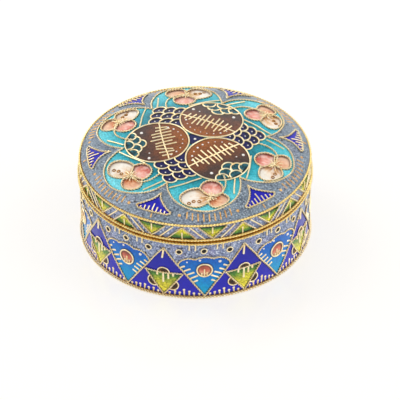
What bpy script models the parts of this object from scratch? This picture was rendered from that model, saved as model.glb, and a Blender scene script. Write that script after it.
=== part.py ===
"""A round cloisonne enamel box with a domed lift-off lid.

The body is a straight-sided cup whose inner lip rises into the lid. The lid is a thin dome on a short
upright band. Four twisted gilt rings are soldered on: at the foot, at the mouth, at the lid's edge and
on the lid's shoulder. The larger cell wires stand up from the enamel as low ridges.
Lengths are in metres, +Z is up, and the origin is the centre of the underside.
"""
import math

import bmesh
import bpy
from mathutils import Vector

MM = 0.001

# Driving dimensions of the whole box
BOX_RADIUS = 30.0 * MM          # to the outside of the rings at the foot and on both sides of the joint
SEAM_HEIGHT = 18.2 * MM         # middle of the joint between the body and the lid
BAND_HEIGHT = 4.3 * MM          # from the middle of the joint to the top of the lid's band

# Walls
WALL = 1.1 * MM                 # sheet and enamel together
FLOOR = 1.2 * MM
FLOOR_BEVEL = 1.2 * MM          # between the floor and the wall inside
ENAMEL_SET_BACK = 0.65 * MM     # the enamelled walls stay this far inside the rings

# The lid's dome: a shallow crown that turns down over a rounder shoulder
CROWN_RADIUS = 126.0 * MM
SHOULDER_RADIUS = 10.2 * MM
SHOULDER_WIDTH = 4.8 * MM

# The inner lip that keeps the lid in place
LIP_WALL = 0.8 * MM
LIP_RISE = 2.6 * MM             # above the joint
LIP_DEPTH = 4.0 * MM            # below the joint
LIP_CLEARANCE = 0.3 * MM        # between the lip and the lid
JOINT_GAP = 0.3 * MM            # the dark groove between the body and the lid

# The soldered rings
RING_WIRE = 0.72 * MM
SHOULDER_RING_WIRE = 0.66 * MM
SHOULDER_RING_PROUD = 0.22 * MM  # how far the shoulder ring stands out from the lid's band
SOLDER_GAP = 0.08 * MM
FOOT_RING_LIFT = 0.1 * MM       # the ring stays just clear of the table

# The cell wires, as low ridges on the enamel
WIRE_FOOT = 0.5 * MM
WIRE_RISE = 0.25 * MM
WIRE_SINK = 0.3 * MM

ROUND_STEPS = 48
RING_SIDES = 5
CROWN_STEPS = 3
SHOULDER_STEPS = 3
INSIDE_STEPS = 2

# The lid's pattern, in degrees and as shares of the box's radius
DISC_COUNT = 3
DISC_TURN = 64.0
DISC_DISTANCE = 0.318
DISC_SIZE = 0.262
DISC_STEPS = 14
VEIN_LENGTH = 0.36
VEIN_BARS = 4
VEIN_BAR_LENGTH = 0.17
LOBE_COUNT = 6
LOBE_TURN = 37.0
LOBE_VALLEY = 0.615
LOBE_REACH = 0.87
LOBE_STEPS = 8
FAN_INNER = 0.715
FAN_OUTER = 0.905
FAN_HALF_ANGLE = 10.5
FAN_WAIST = 2.6
FAN_SIDE_STEPS = 3
PETAL_DISTANCE = 0.70
PETAL_STEPS = 7
# Each petal: direction from its blossom's centre, its centre's distance, half length, half width
PETALS = (
    (-85.0, 0.132, 0.100, 0.078),
    (52.0, 0.098, 0.066, 0.060),
    (160.0, 0.108, 0.074, 0.058),
)

# The band's and the wall's patterns, in degrees and as shares of the free height between the rings
BAND_TRIANGLES = 12
BAND_TURN = 7.8
BAND_MARGIN = 0.12
PANEL_COUNT = 9
PANEL_TURN = 14.0
PANEL_APEX = 0.88
PANEL_BASE = 0.03
LEAF_TOP = 0.43
LEAF_TIP = 0.05
LEAF_HALF_ANGLE = 8.4
MEDAL_HEIGHT = 0.49
MEDAL_SIZE = 0.067
MEDAL_STEPS = 7

# What the other sizes give
ENAMEL_RADIUS = BOX_RADIUS - ENAMEL_SET_BACK
INNER_RADIUS = ENAMEL_RADIUS - WALL
RING_SEAT_RADIUS = BOX_RADIUS - RING_WIRE - SOLDER_GAP
LIP_OUTER_RADIUS = INNER_RADIUS - LIP_CLEARANCE
LIP_INNER_RADIUS = LIP_OUTER_RADIUS - LIP_WALL
RIM_Z = SEAM_HEIGHT - JOINT_GAP / 2
LID_EDGE_Z = SEAM_HEIGHT + JOINT_GAP / 2
BAND_TOP_Z = SEAM_HEIGHT + BAND_HEIGHT
FOOT_SEAT_TOP = FOOT_RING_LIFT + RING_WIRE + SOLDER_GAP
MOUTH_SEAT_BOTTOM = RIM_Z - RING_WIRE - SOLDER_GAP
LID_SEAT_TOP = LID_EDGE_Z + RING_WIRE + SOLDER_GAP
SHOULDER_RING_RADIUS = ENAMEL_RADIUS + SHOULDER_RING_PROUD - SHOULDER_RING_WIRE / 2
SHOULDER_RING_Z = BAND_TOP_Z + SOLDER_GAP + SHOULDER_RING_WIRE / 2
DOME_EDGE_RADIUS = SHOULDER_RING_RADIUS - SHOULDER_RING_WIRE / 2 - SOLDER_GAP
DOME_EDGE_Z = SHOULDER_RING_Z + SHOULDER_RING_WIRE / 2


class Dome:
    """The outside of the lid: a crown arc about the axis, tangent to a rounder shoulder arc."""

    def __init__(self):
        self.reach = DOME_EDGE_RADIUS - SHOULDER_WIDTH
        self.crown_angle = math.asin(self.reach / CROWN_RADIUS)
        self.shoulder_centre = self.reach - SHOULDER_RADIUS * math.sin(self.crown_angle)
        self.edge_angle = math.asin((DOME_EDGE_RADIUS - self.shoulder_centre) / SHOULDER_RADIUS)
        self.shoulder_z = DOME_EDGE_Z - SHOULDER_RADIUS * math.cos(self.edge_angle)
        crown_edge_z = self.shoulder_z + SHOULDER_RADIUS * math.cos(self.crown_angle)
        self.crown_z = crown_edge_z - CROWN_RADIUS * math.cos(self.crown_angle)

    def arc_point(self, angle, depth):
        """The profile's point where the surface leans by this angle, this deep under the outside."""
        if angle <= self.crown_angle:
            radius = (CROWN_RADIUS - depth) * math.sin(angle)
            return radius, self.crown_z + (CROWN_RADIUS - depth) * math.cos(angle)
        radius = self.shoulder_centre + (SHOULDER_RADIUS - depth) * math.sin(angle)
        return radius, self.shoulder_z + (SHOULDER_RADIUS - depth) * math.cos(angle)

    def lean(self, radius):
        """The angle by which the outside leans at this distance from the axis."""
        if radius <= self.reach:
            return math.asin(radius / CROWN_RADIUS)
        return math.asin((radius - self.shoulder_centre) / SHOULDER_RADIUS)

    def profile(self, depth, last_angle, crown_steps, shoulder_steps):
        """Points from the axis to the given lean."""
        crown = [self.crown_angle * step / crown_steps for step in range(crown_steps + 1)]
        turn = (last_angle - self.crown_angle) / shoulder_steps
        shoulder = [self.crown_angle + turn * step for step in range(1, shoulder_steps + 1)]
        return [self.arc_point(angle, depth) for angle in crown + shoulder]


DOME = Dome()


def clear_scene():
    for old in list(bpy.data.objects):
        bpy.data.objects.remove(old)


def make_material(name, colour, roughness, metallic):
    material = bpy.data.materials.new(name)
    material.use_nodes = True
    shader = material.node_tree.nodes["Principled BSDF"]
    shader.inputs["Base Color"].default_value = (*colour, 1.0)
    shader.inputs["Roughness"].default_value = roughness
    shader.inputs["Metallic"].default_value = metallic
    material.diffuse_color = (*colour, 1.0)
    return material


def add_object(name, bm, material):
    """Turn the bmesh into an object of this name, smooth except on its sharp edges."""
    bmesh.ops.recalc_face_normals(bm, faces=bm.faces)
    mesh = bpy.data.meshes.new(name)
    bm.to_mesh(mesh)
    bm.free()
    mesh.shade_smooth()
    mesh.set_sharp_from_angle(angle=math.radians(30))
    mesh.materials.append(material)
    thing = bpy.data.objects.new(name, mesh)
    bpy.context.scene.collection.objects.link(thing)
    return thing


def turn_profile(name, profile, closed, material):
    """Spin a profile of (radius, z) points about the box's axis."""
    bm = bmesh.new()
    points = [bm.verts.new((radius, 0, z)) for radius, z in profile]
    pairs = list(zip(points, points[1:]))
    if closed:
        pairs.append((points[-1], points[0]))
    edges = [bm.edges.new(pair) for pair in pairs]
    bmesh.ops.spin(bm, geom=points + edges, cent=(0, 0, 0), axis=(0, 0, 1), angle=math.tau,
                   steps=ROUND_STEPS, use_merge=True)
    bmesh.ops.remove_doubles(bm, verts=bm.verts, dist=0.001 * MM)
    return add_object(name, bm, material)


def dome_place(x, y):
    """The point on the dome above (x, y), and the surface's direction there."""
    radius = math.hypot(x, y)
    lean = DOME.lean(radius)
    outward = Vector((x, y, 0)).normalized() if radius > 0 else Vector((1, 0, 0))
    point = Vector((x, y, DOME.arc_point(lean, 0)[1]))
    return point, outward * math.sin(lean) + Vector((0, 0, math.cos(lean)))


def wall_place(azimuth, z):
    """The point on the enamelled wall at this azimuth in degrees, and the wall's direction there."""
    outward = Vector((math.cos(math.radians(azimuth)), math.sin(math.radians(azimuth)), 0))
    return outward * ENAMEL_RADIUS + Vector((0, 0, z)), outward


def add_ridge(bm, places, closed):
    """Add one cell wire along the places: a three-sided bar, sunk into the enamel, mitred at its corners."""
    count = len(places)
    rows = []
    for index, (point, normal) in enumerate(places):
        before = places[(index - 1) % count][0] if closed or index > 0 else point
        after = places[(index + 1) % count][0] if closed or index < count - 1 else point
        arriving = (point - before).normalized()
        leaving = (after - point).normalized()
        along = (arriving + leaving).normalized()
        side = normal.cross(along).normalized()
        half_turn = arriving.angle(leaving) / 2 if arriving.length and leaving.length else 0.0
        side /= max(math.cos(half_turn), 0.4)
        foot = point - normal * WIRE_SINK
        top = point + normal * WIRE_RISE
        section = (foot - side * WIRE_FOOT / 2, foot + side * WIRE_FOOT / 2, top)
        rows.append([bm.verts.new(corner) for corner in section])
    spans = list(zip(rows, rows[1:]))
    if closed:
        spans.append((rows[-1], rows[0]))
    for row, following in spans:
        for corner in range(3):
            beside = (corner + 1) % 3
            bm.faces.new((row[corner], row[beside], following[beside], following[corner]))
    if not closed:
        bm.faces.new(rows[0])
        bm.faces.new(rows[-1])


def polar(distance, angle):
    """A place on the plan, from a distance and an angle in degrees."""
    return Vector((math.cos(math.radians(angle)), math.sin(math.radians(angle)))) * distance


def ellipse_points(centre, long_half, short_half, turn, steps):
    points = []
    for step in range(steps):
        angle = math.tau * step / steps
        along = polar(long_half * math.cos(angle), turn)
        across = polar(short_half * math.sin(angle), turn + 90)
        points.append(centre + along + across)
    return points


def on_dome(points):
    return [dome_place(point.x, point.y) for point in points]


def add_discs(bm):
    """Three round fields round the lid's centre, each with a veined leaf."""
    for index in range(DISC_COUNT):
        angle = DISC_TURN + 360 * index / DISC_COUNT
        centre = polar(DISC_DISTANCE * BOX_RADIUS, angle)
        size = DISC_SIZE * BOX_RADIUS
        add_ridge(bm, on_dome(ellipse_points(centre, size, size, angle, DISC_STEPS)), closed=True)
        half = polar(VEIN_LENGTH / 2 * BOX_RADIUS, angle + 90)
        add_ridge(bm, on_dome([centre - half, centre, centre + half]), closed=False)
        for bar in range(VEIN_BARS):
            share = (bar + 1) / (VEIN_BARS + 1) * 2 - 1
            middle = centre + half * share
            reach = polar(VEIN_BAR_LENGTH / 2 * math.cos(share * 0.9) * BOX_RADIUS, angle)
            add_ridge(bm, on_dome([middle - reach, middle + reach]), closed=False)


def lobe_circle():
    """The circle of one lobe: its centre's distance from the axis, its size and its half sweep."""
    half = math.pi / LOBE_COUNT
    valley_x = LOBE_VALLEY * math.cos(half)
    valley_y = LOBE_VALLEY * math.sin(half)
    sagitta = LOBE_REACH - valley_x
    size = valley_y ** 2 / (2 * sagitta) + sagitta / 2
    distance = LOBE_REACH - size
    return distance, size, math.degrees(math.atan2(valley_y, valley_x - distance))


def add_lobes(bm):
    """One closed wire with a round lobe in each direction, and a valley between every two."""
    distance, size, sweep = lobe_circle()
    points = []
    for index in range(LOBE_COUNT):
        angle = LOBE_TURN + 360 * index / LOBE_COUNT
        centre = polar(distance * BOX_RADIUS, angle)
        for step in range(LOBE_STEPS):
            turn = sweep * (2 * step / LOBE_STEPS - 1)
            points.append(centre + polar(size * BOX_RADIUS, angle + turn))
    add_ridge(bm, on_dome(points), closed=True)


def add_fans(bm):
    """A curved triangle in each valley between two lobes."""
    for index in range(LOBE_COUNT):
        angle = LOBE_TURN + 360 * (index + 0.5) / LOBE_COUNT
        tip = polar(FAN_INNER * BOX_RADIUS, angle)
        points = [tip]
        for hand in (-1, 1):
            waist = polar((FAN_INNER + FAN_OUTER) / 2 * BOX_RADIUS, angle + hand * FAN_WAIST)
            corner = polar(FAN_OUTER * BOX_RADIUS, angle + hand * FAN_HALF_ANGLE)
            side = []
            for step in range(1, FAN_SIDE_STEPS + 1):
                share = step / FAN_SIDE_STEPS
                side.append(tip * (1 - share) ** 2 + waist * 2 * share * (1 - share) + corner * share ** 2)
            if hand < 0:
                points += side
                points.append(polar(FAN_OUTER * BOX_RADIUS, angle))
            else:
                points += reversed(side)
        add_ridge(bm, on_dome(points), closed=True)


def add_petals(bm):
    """A blossom of three petals in every lobe."""
    for index in range(LOBE_COUNT):
        angle = LOBE_TURN + 360 * index / LOBE_COUNT
        heart = polar(PETAL_DISTANCE * BOX_RADIUS, angle)
        for turn, distance, long_half, short_half in PETALS:
            centre = heart + polar(distance * BOX_RADIUS, angle + turn)
            outline = ellipse_points(centre, long_half * BOX_RADIUS, short_half * BOX_RADIUS,
                                     angle + turn, PETAL_STEPS)
            add_ridge(bm, on_dome(outline), closed=True)


def wall_path(corners, span):
    """Places along straight lines on the unrolled wall, from (azimuth, z) corners, with even spans."""
    places = []
    for (azimuth, z), (next_azimuth, next_z) in zip(corners, corners[1:]):
        pieces = max(1, math.ceil(abs(next_azimuth - azimuth) / span - 0.001))
        for piece in range(pieces):
            share = piece / pieces
            places.append(wall_place(azimuth + (next_azimuth - azimuth) * share, z + (next_z - z) * share))
    return places


def share_of_height(bottom, top, share):
    return bottom + (top - bottom) * share


def add_band_wires(bm):
    """A zigzag wire round the lid's band."""
    low = share_of_height(LID_SEAT_TOP, BAND_TOP_Z, BAND_MARGIN)
    high = share_of_height(LID_SEAT_TOP, BAND_TOP_Z, 1 - BAND_MARGIN)
    corners = []
    for index in range(BAND_TRIANGLES * 2 + 1):
        azimuth = BAND_TURN + 180 * index / BAND_TRIANGLES
        corners.append((azimuth, low if index % 2 == 0 else high))
    add_ridge(bm, wall_path(corners, 7.5), closed=True)


def wall_height(share):
    return share_of_height(FOOT_SEAT_TOP, MOUTH_SEAT_BOTTOM, share)


def add_panel_wires(bm):
    """Tall triangles round the wall, a leaf triangle in each and a medallion between every two."""
    pitch = 360 / PANEL_COUNT
    corners = []
    for index in range(PANEL_COUNT):
        azimuth = PANEL_TURN + pitch * index
        corners += [(azimuth, wall_height(PANEL_APEX)), (azimuth + pitch / 2, wall_height(PANEL_BASE))]
        leaf = [(azimuth - LEAF_HALF_ANGLE, wall_height(LEAF_TOP)), (azimuth, wall_height(LEAF_TIP)),
                (azimuth + LEAF_HALF_ANGLE, wall_height(LEAF_TOP))]
        leaf.append(leaf[0])
        add_ridge(bm, wall_path(leaf, 8.5), closed=True)
        around = math.degrees(MEDAL_SIZE * BOX_RADIUS / ENAMEL_RADIUS)
        medal = []
        for step in range(MEDAL_STEPS):
            angle = math.tau * step / MEDAL_STEPS
            medal.append(wall_place(azimuth + pitch / 2 + around * math.cos(angle),
                                    wall_height(MEDAL_HEIGHT) + MEDAL_SIZE * BOX_RADIUS * math.sin(angle)))
        add_ridge(bm, medal, closed=True)
    corners.append((corners[0][0] + 360, corners[0][1]))
    add_ridge(bm, wall_path(corners, 6.7), closed=True)


def fuse_ridges(thing, bm, material):
    """Union the wires with the enamelled piece that they are soldered to."""
    guide = add_object(thing.name + "_wires", bm, material)
    guide.hide_render = True
    guide.display_type = "WIRE"
    union = thing.modifiers.new("Soldered wires", "BOOLEAN")
    union.operation = "UNION"
    union.object = guide
    union.use_self = True


def make_body(enamel, gilt):
    profile = [
        (0, 0), (RING_SEAT_RADIUS, 0),
        (RING_SEAT_RADIUS, FOOT_SEAT_TOP), (ENAMEL_RADIUS, FOOT_SEAT_TOP),
        (ENAMEL_RADIUS, MOUTH_SEAT_BOTTOM), (RING_SEAT_RADIUS, MOUTH_SEAT_BOTTOM),
        (RING_SEAT_RADIUS, RIM_Z), (LIP_OUTER_RADIUS, RIM_Z),
        (LIP_OUTER_RADIUS, SEAM_HEIGHT + LIP_RISE), (LIP_INNER_RADIUS, SEAM_HEIGHT + LIP_RISE),
        (LIP_INNER_RADIUS, SEAM_HEIGHT - LIP_DEPTH), (INNER_RADIUS, SEAM_HEIGHT - LIP_DEPTH),
        (INNER_RADIUS, FLOOR + FLOOR_BEVEL), (INNER_RADIUS - FLOOR_BEVEL, FLOOR), (0, FLOOR),
    ]
    body = turn_profile("box_body", profile, closed=False, material=enamel)
    bm = bmesh.new()
    add_panel_wires(bm)
    fuse_ridges(body, bm, gilt)


def make_lid(enamel, gilt):
    inner_angle = math.asin((INNER_RADIUS - DOME.shoulder_centre) / (SHOULDER_RADIUS - WALL))
    outside = DOME.profile(0, DOME.edge_angle, CROWN_STEPS, SHOULDER_STEPS)
    inside = DOME.profile(WALL, inner_angle, INSIDE_STEPS, INSIDE_STEPS)
    edge = [
        (DOME_EDGE_RADIUS, BAND_TOP_Z), (ENAMEL_RADIUS, BAND_TOP_Z),
        (ENAMEL_RADIUS, LID_SEAT_TOP), (RING_SEAT_RADIUS, LID_SEAT_TOP),
        (RING_SEAT_RADIUS, LID_EDGE_Z), (INNER_RADIUS, LID_EDGE_Z),
    ]
    lid = turn_profile("lid", outside + edge + inside[::-1], closed=False, material=enamel)
    bm = bmesh.new()
    add_discs(bm)
    add_lobes(bm)
    add_fans(bm)
    add_petals(bm)
    add_band_wires(bm)
    fuse_ridges(lid, bm, gilt)


def make_ring(name, centre_radius, centre_z, wire, gilt):
    profile = []
    for side in range(RING_SIDES):
        angle = math.tau * side / RING_SIDES
        profile.append((centre_radius + wire / 2 * math.cos(angle), centre_z + wire / 2 * math.sin(angle)))
    turn_profile(name, profile, closed=True, material=gilt)


def main():
    clear_scene()
    enamel = make_material("blue_enamel", (0.10, 0.16, 0.42), 0.25, 0.0)
    gilt = make_material("gilt_wire", (0.80, 0.56, 0.24), 0.3, 1.0)
    make_body(enamel, gilt)
    make_lid(enamel, gilt)
    ring_radius = BOX_RADIUS - RING_WIRE / 2
    make_ring("foot_rope", ring_radius, FOOT_RING_LIFT + RING_WIRE / 2, RING_WIRE, gilt)
    make_ring("mouth_rope", ring_radius, RIM_Z - RING_WIRE / 2, RING_WIRE, gilt)
    make_ring("lid_edge_rope", ring_radius, LID_EDGE_Z + RING_WIRE / 2, RING_WIRE, gilt)
    make_ring("lid_shoulder_rope", SHOULDER_RING_RADIUS, SHOULDER_RING_Z, SHOULDER_RING_WIRE, gilt)


main()
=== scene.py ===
"""The looks of a small round cloisonne enamel box with a domed lift-off lid.

The enamel is laid the way the craft lays it: gilt wires stand on a metal sheet and each cell between them
is filled with fired enamel that sags a little below its wires. Cells and wires are drawn flat, in
millimetres, on the plan of the lid or on the unrolled wall, and then bent onto the box.
"""
import math
import random

import bmesh
import bpy
from mathutils import Matrix, Vector, geometry, noise


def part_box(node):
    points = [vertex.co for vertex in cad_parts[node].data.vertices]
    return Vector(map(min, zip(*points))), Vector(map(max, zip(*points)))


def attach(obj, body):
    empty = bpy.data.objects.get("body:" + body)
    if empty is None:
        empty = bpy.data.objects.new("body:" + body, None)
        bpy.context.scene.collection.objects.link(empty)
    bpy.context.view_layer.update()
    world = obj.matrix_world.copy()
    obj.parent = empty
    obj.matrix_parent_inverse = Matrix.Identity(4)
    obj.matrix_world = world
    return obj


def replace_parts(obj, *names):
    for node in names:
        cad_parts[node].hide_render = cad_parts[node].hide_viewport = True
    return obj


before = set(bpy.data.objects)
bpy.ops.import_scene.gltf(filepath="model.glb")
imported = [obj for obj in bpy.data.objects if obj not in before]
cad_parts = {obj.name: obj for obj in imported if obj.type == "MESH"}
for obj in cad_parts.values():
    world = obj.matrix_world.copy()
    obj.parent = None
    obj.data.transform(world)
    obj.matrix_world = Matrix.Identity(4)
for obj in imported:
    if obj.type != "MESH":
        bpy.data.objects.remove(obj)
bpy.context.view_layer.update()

MM = 0.001


def ring_place(node):
    """A soldered ring's outer radius and the height of its middle, in millimetres."""
    low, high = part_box(node)
    return high[0] / MM, (low[2] + high[2]) / 2 / MM


# Sizes in millimetres, the same as the frame's
BOX_RADIUS, FOOT_RING_Z = ring_place("foot_rope")
MOUTH_RING_Z = ring_place("mouth_rope")[1]
LID_RING_Z = ring_place("lid_edge_rope")[1]
SHOULDER_REACH, SHOULDER_RING_Z = ring_place("lid_shoulder_rope")
RING_WIRE = 0.72
SHOULDER_WIRE = 0.66
SOLDER_GAP = 0.08
ENAMEL_RADIUS = BOX_RADIUS - 0.65
WALL = 1.1
FLOOR = 1.2
FLOOR_BEVEL = 1.2
CROWN_RADIUS = 126.0
SHOULDER_RADIUS = 10.2
SHOULDER_WIDTH = 4.8
LIP_WALL = 0.8
LIP_RISE = 2.6
LIP_DEPTH = 4.0
LIP_CLEARANCE = 0.3

INNER_RADIUS = ENAMEL_RADIUS - WALL
SEAT_RADIUS = BOX_RADIUS - RING_WIRE - SOLDER_GAP
LIP_OUTER = INNER_RADIUS - LIP_CLEARANCE
LIP_INNER = LIP_OUTER - LIP_WALL
RIM_Z = MOUTH_RING_Z + RING_WIRE / 2
LID_EDGE_Z = LID_RING_Z - RING_WIRE / 2
SEAM_Z = (RIM_Z + LID_EDGE_Z) / 2
FOOT_TOP = FOOT_RING_Z + 0.2
MOUTH_BOTTOM = MOUTH_RING_Z - RING_WIRE / 2 - SOLDER_GAP
BAND_BOTTOM = LID_RING_Z + 0.1
BAND_TOP = SHOULDER_RING_Z - SHOULDER_WIRE / 2 - SOLDER_GAP
DOME_EDGE = SHOULDER_REACH - SHOULDER_WIRE - SOLDER_GAP
DOME_EDGE_Z = SHOULDER_RING_Z + SHOULDER_WIRE / 2

# Each twisted ring is a little thinner than the solid ring that it stands for, and the two at the seam
# stand apart, so that the groove between them shows
ROPE = 0.66
ROPE_TURN = 1.6
FOOT_ROPE = 0.7
FOOT_ROPE_Z = FOOT_RING_Z + 0.01
MOUTH_ROPE_Z = MOUTH_RING_Z - RING_WIRE / 2 + ROPE / 2 - 0.18
LID_ROPE_Z = LID_RING_Z + RING_WIRE / 2 - ROPE / 2
SHOULDER_ROPE_Z = SHOULDER_RING_Z - SHOULDER_WIRE / 2 + ROPE / 2
FIELD_EDGE = SHOULDER_REACH - ROPE + 0.04

# How high each kind of cell's enamel and its edge stand over the solid's surface, in millimetres
SHEET = -0.70
FIELD = (-0.20, -0.05)
CELL = (-0.17, -0.05)
SCALES = (-0.19, -0.155)
DISC = (-0.08, -0.04)
SEA_SCALES = (-0.05, -0.02)
INLAY = (-0.12, -0.03)
PETAL = (-0.56, -0.05)
SLAB = 0.6
# How far out the sheet stands under the wall's and the band's enamel
SUNK = ENAMEL_RADIUS + FIELD[0]

# The wires' thicknesses, and how long one turn of a twisted one is
WIRES = {"plain": 0.4, "hair": 0.24, "fine": 0.34, "bold": 0.58}
TWISTED_WIRE = 0.54
WIRE_TURN = 1.5
STRAND_RINGS = 8
PLAIN_STEP = 0.4
# The facets that enamel is cut into before it is bent, from wide cells to the smallest
CUT = 1.1
FIELD_CUT = 0.9
SMALL_CUT = 0.7
TINY_CUT = 0.5
# How far hand-laid wires waver, over what length, and how that fades at the edge. Every run wavers alike
WAVER = 0.22
WAVER_LENGTH = 5.0
WAVER_MARGIN = 0.6
WAVER_FADE = 2.0
noise.seed_set(7)

# Dome
CROWN_EDGE = DOME_EDGE - SHOULDER_WIDTH
CROWN_LEAN = math.asin(CROWN_EDGE / CROWN_RADIUS)
SHOULDER_X = CROWN_EDGE - SHOULDER_RADIUS * math.sin(CROWN_LEAN)
EDGE_LEAN = math.asin((DOME_EDGE - SHOULDER_X) / SHOULDER_RADIUS)
SHOULDER_Z = DOME_EDGE_Z - SHOULDER_RADIUS * math.cos(EDGE_LEAN)
CROWN_Z = SHOULDER_Z + (SHOULDER_RADIUS - CROWN_RADIUS) * math.cos(CROWN_LEAN)


def dome_point(lean, depth=0.0):
    """The dome's profile, as (radius, height), where it leans this much, this deep under its surface."""
    if lean <= CROWN_LEAN:
        reach = CROWN_RADIUS - depth
        return reach * math.sin(lean), CROWN_Z + reach * math.cos(lean)
    reach = SHOULDER_RADIUS - depth
    return SHOULDER_X + reach * math.sin(lean), SHOULDER_Z + reach * math.cos(lean)


def hand_wobble(spot):
    return noise.noise_vector(spot / WAVER_LENGTH) * WAVER


def on_dome(x, y, lift=0.0):
    """From the lid's plan to the dome, lifted off its surface."""
    radius = math.hypot(x, y)
    room = (DOME_EDGE - WAVER_MARGIN - radius) / WAVER_FADE
    waver = hand_wobble(Vector((x, y, 40.0))) * min(1.0, max(0.0, room))
    x, y = x + waver.x, y + waver.y
    radius = max(math.hypot(x, y), 1e-6)
    if radius <= CROWN_EDGE:
        lean = math.asin(radius / CROWN_RADIUS)
    else:
        lean = math.asin(min(0.95, (radius - SHOULDER_X) / SHOULDER_RADIUS))
    height = dome_point(lean)[1]
    out = math.sin(lean) * lift / radius
    return Vector((x + x * out, y + y * out, height + math.cos(lean) * lift)) * MM


def on_wall(along, height, lift=0.0):
    """From the unrolled wall, where 0 is the front and right is positive, to the wall."""
    azimuth = along / ENAMEL_RADIUS - math.pi / 2
    spot = Vector((math.cos(azimuth) * ENAMEL_RADIUS, math.sin(azimuth) * ENAMEL_RADIUS, height))
    waver = hand_wobble(spot)
    azimuth += waver.x / ENAMEL_RADIUS
    reach = ENAMEL_RADIUS + lift
    middle = min(height - FOOT_TOP, MOUTH_BOTTOM - height, abs(height - MOUTH_BOTTOM), 1.0)
    return Vector((math.cos(azimuth) * reach, math.sin(azimuth) * reach,
                   height + waver.y * max(0.0, middle))) * MM


def polar(distance, degrees):
    return Vector((math.cos(math.radians(degrees)), math.sin(math.radians(degrees)))) * distance


def turned(vector, degrees):
    angle = math.radians(degrees)
    return Vector((vector.x * math.cos(angle) - vector.y * math.sin(angle),
                   vector.x * math.sin(angle) + vector.y * math.cos(angle)))


def circle(centre, radius, count):
    return [centre + polar(radius, 360 * step / count) for step in range(count)]


# Materials


def linear(code):
    """A hex sRGB colour as linear red, green, blue and alpha."""
    values = [int(code[place:place + 2], 16) / 255 for place in (1, 3, 5)]
    return [v / 12.92 if v <= 0.04045 else ((v + 0.055) / 1.055) ** 2.4 for v in values] + [1.0]


def add_node(tree, kind, sockets=None, **settings):
    """Add a node: settings are its own, sockets take values or other nodes' outputs."""
    node = tree.nodes.new("ShaderNode" + kind)
    for name, value in settings.items():
        setattr(node, name, value)
    for name, value in (sockets or {}).items():
        if isinstance(value, bpy.types.NodeSocket):
            tree.links.new(value, node.inputs[name])
        else:
            node.inputs[name].default_value = value
    return node


def new_material(name, values):
    """A new material, with these values on its shader's own sockets."""
    material = bpy.data.materials.new(name)
    material.use_nodes = True
    shader = material.node_tree.nodes["Principled BSDF"]
    for socket, value in values.items():
        shader.inputs[socket].default_value = value
    return material, material.node_tree, shader


def set_stops(ramp, stops):
    elements = ramp.color_ramp.elements
    while len(elements) < len(stops):
        elements.new(0.5)
    for element, (place, code) in zip(elements, stops):
        element.position = place
        element.color = linear(code)


# Glass, its gloss a little dulled by polishing
ENAMEL_GLASS = {"IOR": 1.5, "Specular IOR Level": 0.35}


def fired_enamel(name, stops, rim, specks=0.25, roughness=0.14, streaks=None, clouds=0.55):
    """Opaque lead-glass enamel, fired in a cell and left glossy, with a colour that was shaded in as
    powder, save in the medallions, whose darker tops are painted shade. It is darker along the wires,
    partly as thicker glass and partly as painted shade, and has fine grains, bubbles and ripples."""
    material, tree, shader = new_material(name, {"Roughness": roughness, **ENAMEL_GLASS})
    place = add_node(tree, "TexCoord").outputs["Object"]
    shade, edge = [add_node(tree, "Attribute", attribute_name=layer).outputs["Fac"]
                   for layer in ("shade", "rim")]
    # Clouds of about 2 mm, where the wet powder was laid unevenly, grains of ground glass of 0.3 mm and
    # ripples of 1 mm
    patterns = [add_node(tree, "TexNoise", {"Vector": place, "Scale": scale, "Detail": detail})
                for scale, detail in ((480.0, 3.0), (2600.0, 2.0), (900.0, 2.0))]
    cloud, grain, ripple = [pattern.outputs["Fac"] for pattern in patterns]
    mixed = add_node(tree, "Math", {0: cloud, 1: clouds, 2: -clouds / 2}, operation="MULTIPLY_ADD")
    laid = add_node(tree, "Math", {0: shade, 1: mixed.outputs[0]}, operation="ADD")
    colour = add_node(tree, "ValToRGB", {"Fac": laid.outputs[0]})
    set_stops(colour, stops)
    grains = add_node(tree, "MapRange", {"Value": grain, "From Min": 0.3, "From Max": 0.7,
                                         "To Min": 1 - specks, "To Max": 1 + specks})
    drawn = add_node(tree, "Mix", {0: 1.0, 6: colour.outputs["Color"], 7: grains.outputs[0]},
                     data_type="RGBA", blend_type="MULTIPLY").outputs[2]
    if streaks:
        # Brush strokes that fan out from the blossom's heart, about 0.5 mm apart
        turn = add_node(tree, "Attribute", attribute_name="turn").outputs["Fac"]
        fan = add_node(tree, "CombineXYZ", {"X": turn, "Y": shade})
        stroke = add_node(tree, "TexNoise", {"Vector": fan.outputs[0], "Scale": 3.2, "Detail": 2.0})
        strength = add_node(tree, "MapRange", {"Value": stroke.outputs["Fac"], "From Min": 0.44,
                                               "From Max": 0.66, "To Max": 0.75})
        drawn = add_node(tree, "Mix", {0: strength.outputs[0], 6: drawn, 7: linear(streaks)},
                         data_type="RGBA").outputs[2]
    # Along the wires the colour runs into the rim colour: partly thicker glass, partly painted shade along
    # the wires
    rimmed = add_node(tree, "Mix", {0: edge, 6: drawn, 7: linear(rim)}, data_type="RGBA")
    bump = add_node(tree, "Bump", {"Height": ripple, "Strength": 0.35, "Distance": 0.00012})
    tree.links.new(rimmed.outputs[2], shader.inputs["Base Color"])
    tree.links.new(bump.outputs["Normal"], shader.inputs["Normal"])
    return material


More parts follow.
